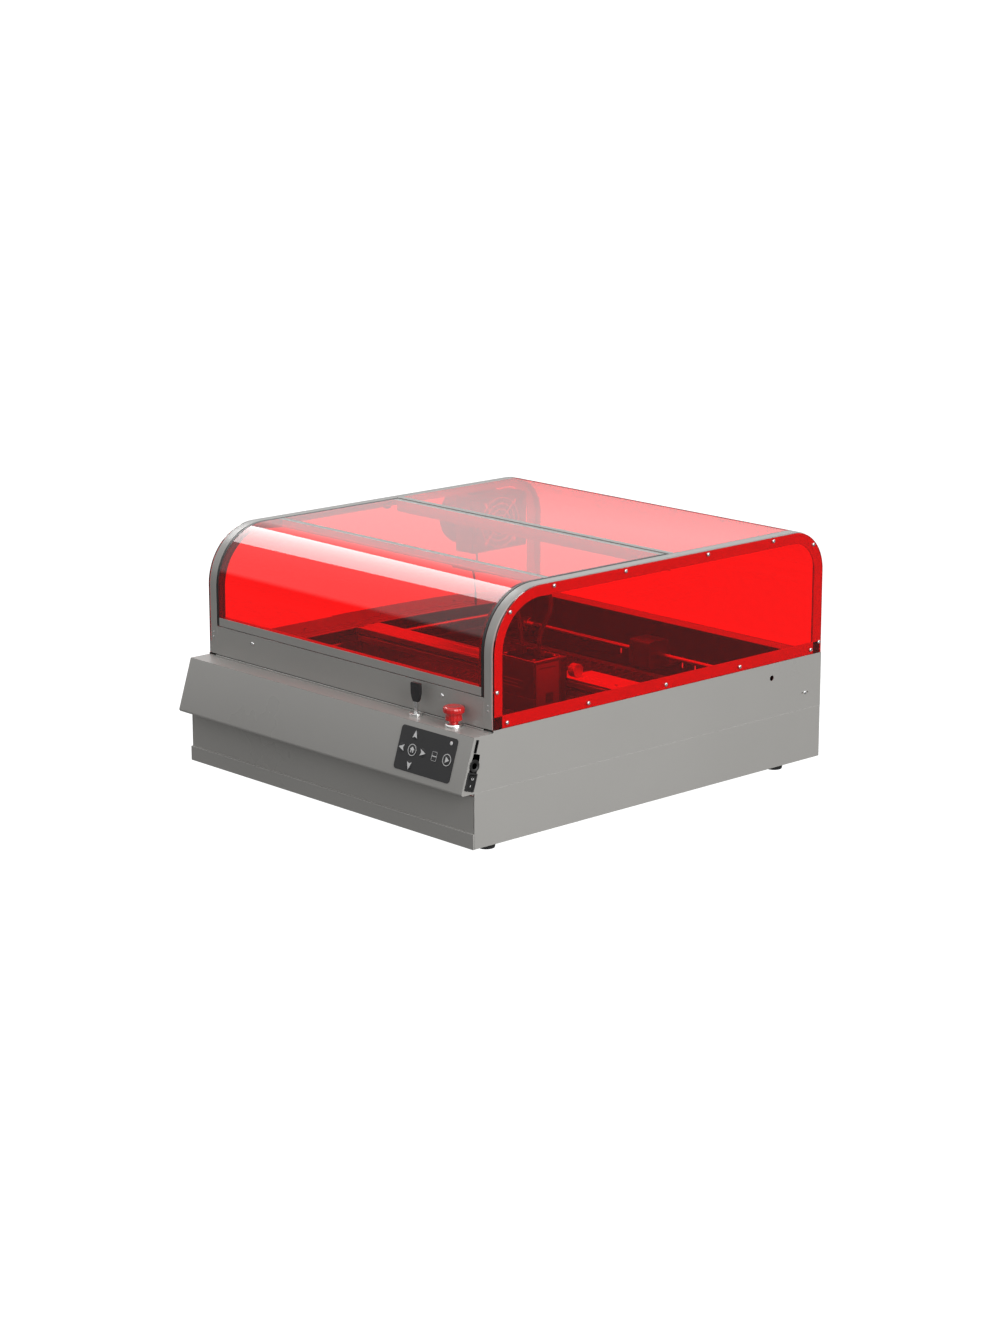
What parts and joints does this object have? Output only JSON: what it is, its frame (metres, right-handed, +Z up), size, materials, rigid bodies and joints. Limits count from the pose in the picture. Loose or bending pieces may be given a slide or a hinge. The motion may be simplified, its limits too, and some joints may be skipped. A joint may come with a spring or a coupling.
{
  "type": "desktop laser cutter",
  "caption": "Enclosed desktop laser cutter: grey sheet-metal base with a front console, gantry laser head, and a tinted hood with a lift-up front lid.",
  "frame": {"origin": "centre of the machine's footprint, on the surface that its feet stand on", "axes": "+X to the machine's right, +Y to its back, +Z up"},
  "size_m": [0.6534, 0.698, 0.351],
  "materials": {
    "grey_paint": "fine satin powder coat",
    "red_acrylic": "clear tinted acrylic, polished",
    "black_trim": "moulded, fine grain",
    "screw_steel": "nickel plated",
    "foot_rubber": "moulded rubber",
    "belt_rubber": "fibre-reinforced belt",
    "keypad_film": "printed film with domes",
    "stop_red": "glossy moulded red",
    "collar_silver": "turned, satin",
    "port_black": "moulded",
    "board_green": "solder mask",
    "cable_black": "jacket, satin",
    "bed_steel": "zinc plated, dulled",
    "bracket_black": "black anodised",
    "beam_alloy": "clear anodised",
    "motor_black": "black laminations and painted caps",
    "pulley_alloy": "turned",
    "head_black": "black anodised housing"
  },
  "bodies": {
    "chassis": {"base_tray": "grey_paint", "upper_chassis": "grey_paint", "console_shell": "grey_paint", "front_apron": "grey_paint", "arch_frames": "grey_paint", "side_window_right": "red_acrylic", "side_window_left": "red_acrylic", "rear_window": "red_acrylic", "rear_crossbar": "grey_paint", "lid_pivot_pins": "screw_steel", "panel_screws": "screw_steel", "rubber_feet": "foot_rubber", "lid_interlock": "black_trim", "keypad_panel": "keypad_film", "key_switch_barrel": "screw_steel", "estop_collar": "collar_silver", "side_ports": "port_black", "rocker_frame": "black_trim", "control_board": "board_green", "exhaust_fan_housing": "black_trim", "exhaust_fan_guard": "screw_steel", "duct_collar": "black_trim", "fan_cable": "cable_black", "work_bed": "bed_steel", "drawer_runners": "bed_steel", "guide_rods": "screw_steel", "rod_brackets": "bracket_black", "y_belts": "belt_rubber", "y_motor": "motor_black"},
    "lid": {"lid_front_window": "red_acrylic", "lid_top_window": "red_acrylic", "lid_side_frames": "black_trim", "lid_front_rail": "grey_paint", "lid_crossbars": "grey_paint"},
    "drawer": {"debris_drawer": "grey_paint"},
    "gantry": {"gantry_beam": "beam_alloy", "gantry_trucks": "bracket_black", "gantry_end_plate": "beam_alloy", "x_belt": "belt_rubber", "x_motor": "motor_black"},
    "carriage": {"head_carriage": "bracket_black"},
    "laser": {"laser_head": "head_black", "lens_nozzle": "pulley_alloy", "laser_cable": "cable_black"},
    "focus_knob": {"focus_knob": "pulley_alloy"},
    "x_pulley": {"x_drive_pulley": "pulley_alloy"},
    "x_idler": {"x_idler_pulley": "pulley_alloy"},
    "y_shaft": {"y_drive_shaft": "screw_steel"},
    "y_idlers": {"y_idler_pulleys": "pulley_alloy"},
    "fan_rotor": {"exhaust_fan_rotor": "black_trim"},
    "estop": {"estop_button": "stop_red"},
    "key": {"key": "screw_steel"},
    "rocker": {"rocker_paddle": "black_trim"},
    "home_button": {"home_button": "keypad_film"},
    "up_button": {"up_button": "keypad_film"},
    "down_button": {"down_button": "keypad_film"},
    "left_button": {"left_button": "keypad_film"},
    "right_button": {"right_button": "keypad_film"},
    "frame_button": {"frame_button": "keypad_film"},
    "start_button": {"start_button": "keypad_film"}
  },
  "joints": [
    {"name": "lid_hinge", "type": "hinge", "parent": "chassis", "child": "lid", "pos_m": [0.02333, 0.028, 0.342], "axis": [-1, 0, 0], "range_deg": [0, 75]},
    {"name": "drawer_slide", "type": "slide", "parent": "chassis", "child": "drawer", "axis": [0, -1, 0], "range_m": [0, 0.4]},
    {"name": "gantry_slide", "type": "slide", "parent": "chassis", "child": "gantry", "axis": [0, 1, 0], "range_m": [-0.15, 0.25]},
    {"name": "carriage_slide", "type": "slide", "parent": "gantry", "child": "carriage", "axis": [1, 0, 0], "range_m": [-0.325, 0.05]},
    {"name": "focus_slide", "type": "slide", "parent": "carriage", "child": "laser", "axis": [0, 0, 1], "range_m": [-0.012, 0.008]},
    {"name": "focus_turn", "type": "hinge", "parent": "carriage", "child": "focus_knob", "pos_m": [0.17333, -0.0528, 0.191], "axis": [1, 0, 0], "range_deg": [-230.18, 153.79]},
    {"name": "x_pulley_spin", "type": "hinge", "parent": "gantry", "child": "x_pulley", "pos_m": [-0.20767, -0.026, 0.161], "axis": [0, 0, 1], "range_deg": [-1737, 271]},
    {"name": "x_idler_spin", "type": "hinge", "parent": "gantry", "child": "x_idler", "pos_m": [0.25433, -0.026, 0.161], "axis": [0, 0, 1], "range_deg": [-1737, 271]},
    {"name": "y_shaft_spin", "type": "hinge", "parent": "chassis", "child": "y_shaft", "pos_m": [0.02333, 0.302, 0.122], "axis": [-1, 0, 0], "range_deg": [-955, 1588]},
    {"name": "y_idlers_spin", "type": "hinge", "parent": "chassis", "child": "y_idlers", "pos_m": [0.02333, -0.278, 0.122], "axis": [-1, 0, 0], "range_deg": [-955, 1588]},
    {"name": "fan_spin", "type": "hinge", "parent": "chassis", "child": "fan_rotor", "pos_m": [-0.23567, 0.239, 0.288], "axis": [1, 0, 0], "continuous": true},
    {"name": "estop_press", "type": "slide", "parent": "chassis", "child": "estop", "axis": [0, 0, -1], "range_m": [0, 0.004], "stiffness_N_per_m": 600, "springref_m": -0.002},
    {"name": "key_turn", "type": "hinge", "parent": "chassis", "child": "key", "pos_m": [0.18633, -0.305, 0.164], "axis": [0, 0, -1], "range_deg": [0, 90]},
    {"name": "rocker_tip", "type": "hinge", "parent": "chassis", "child": "rocker", "pos_m": [0.32333, -0.3329, 0.10587], "axis": [0, 0.9532, -0.3024], "range_deg": [-14, 0]},
    {"name": "home_press", "type": "slide", "parent": "chassis", "child": "home_button", "axis": [0, 0.9532, -0.3024], "range_m": [0, 0.0005], "stiffness_N_per_m": 300, "springref_m": -0.0003},
    {"name": "up_press", "type": "slide", "parent": "chassis", "child": "up_button", "axis": [0, 0.9532, -0.3024], "range_m": [0, 0.0005], "stiffness_N_per_m": 300, "springref_m": -0.0003},
    {"name": "down_press", "type": "slide", "parent": "chassis", "child": "down_button", "axis": [0, 0.9532, -0.3024], "range_m": [0, 0.0005], "stiffness_N_per_m": 300, "springref_m": -0.0003},
    {"name": "left_press", "type": "slide", "parent": "chassis", "child": "left_button", "axis": [0, 0.9532, -0.3024], "range_m": [0, 0.0005], "stiffness_N_per_m": 300, "springref_m": -0.0003},
    {"name": "right_press", "type": "slide", "parent": "chassis", "child": "right_button", "axis": [0, 0.9532, -0.3024], "range_m": [0, 0.0005], "stiffness_N_per_m": 300, "springref_m": -0.0003},
    {"name": "frame_press", "type": "slide", "parent": "chassis", "child": "frame_button", "axis": [0, 0.9532, -0.3024], "range_m": [0, 0.0005], "stiffness_N_per_m": 300, "springref_m": -0.0003},
    {"name": "start_press", "type": "slide", "parent": "chassis", "child": "start_button", "axis": [0, 0.9532, -0.3024], "range_m": [0, 0.0005], "stiffness_N_per_m": 300, "springref_m": -0.0003}
  ],
  "couplings": [
    {"joint": "focus_turn", "follows": "focus_slide", "rad_per_m": 333.33},
    {"joint": "x_pulley_spin", "follows": "carriage_slide", "rad_per_m": 93.023},
    {"joint": "x_idler_spin", "follows": "carriage_slide", "rad_per_m": 93.023},
    {"joint": "y_shaft_spin", "follows": "gantry_slide", "rad_per_m": 110.5},
    {"joint": "y_idlers_spin", "follows": "gantry_slide", "rad_per_m": 110.5}
  ]
}
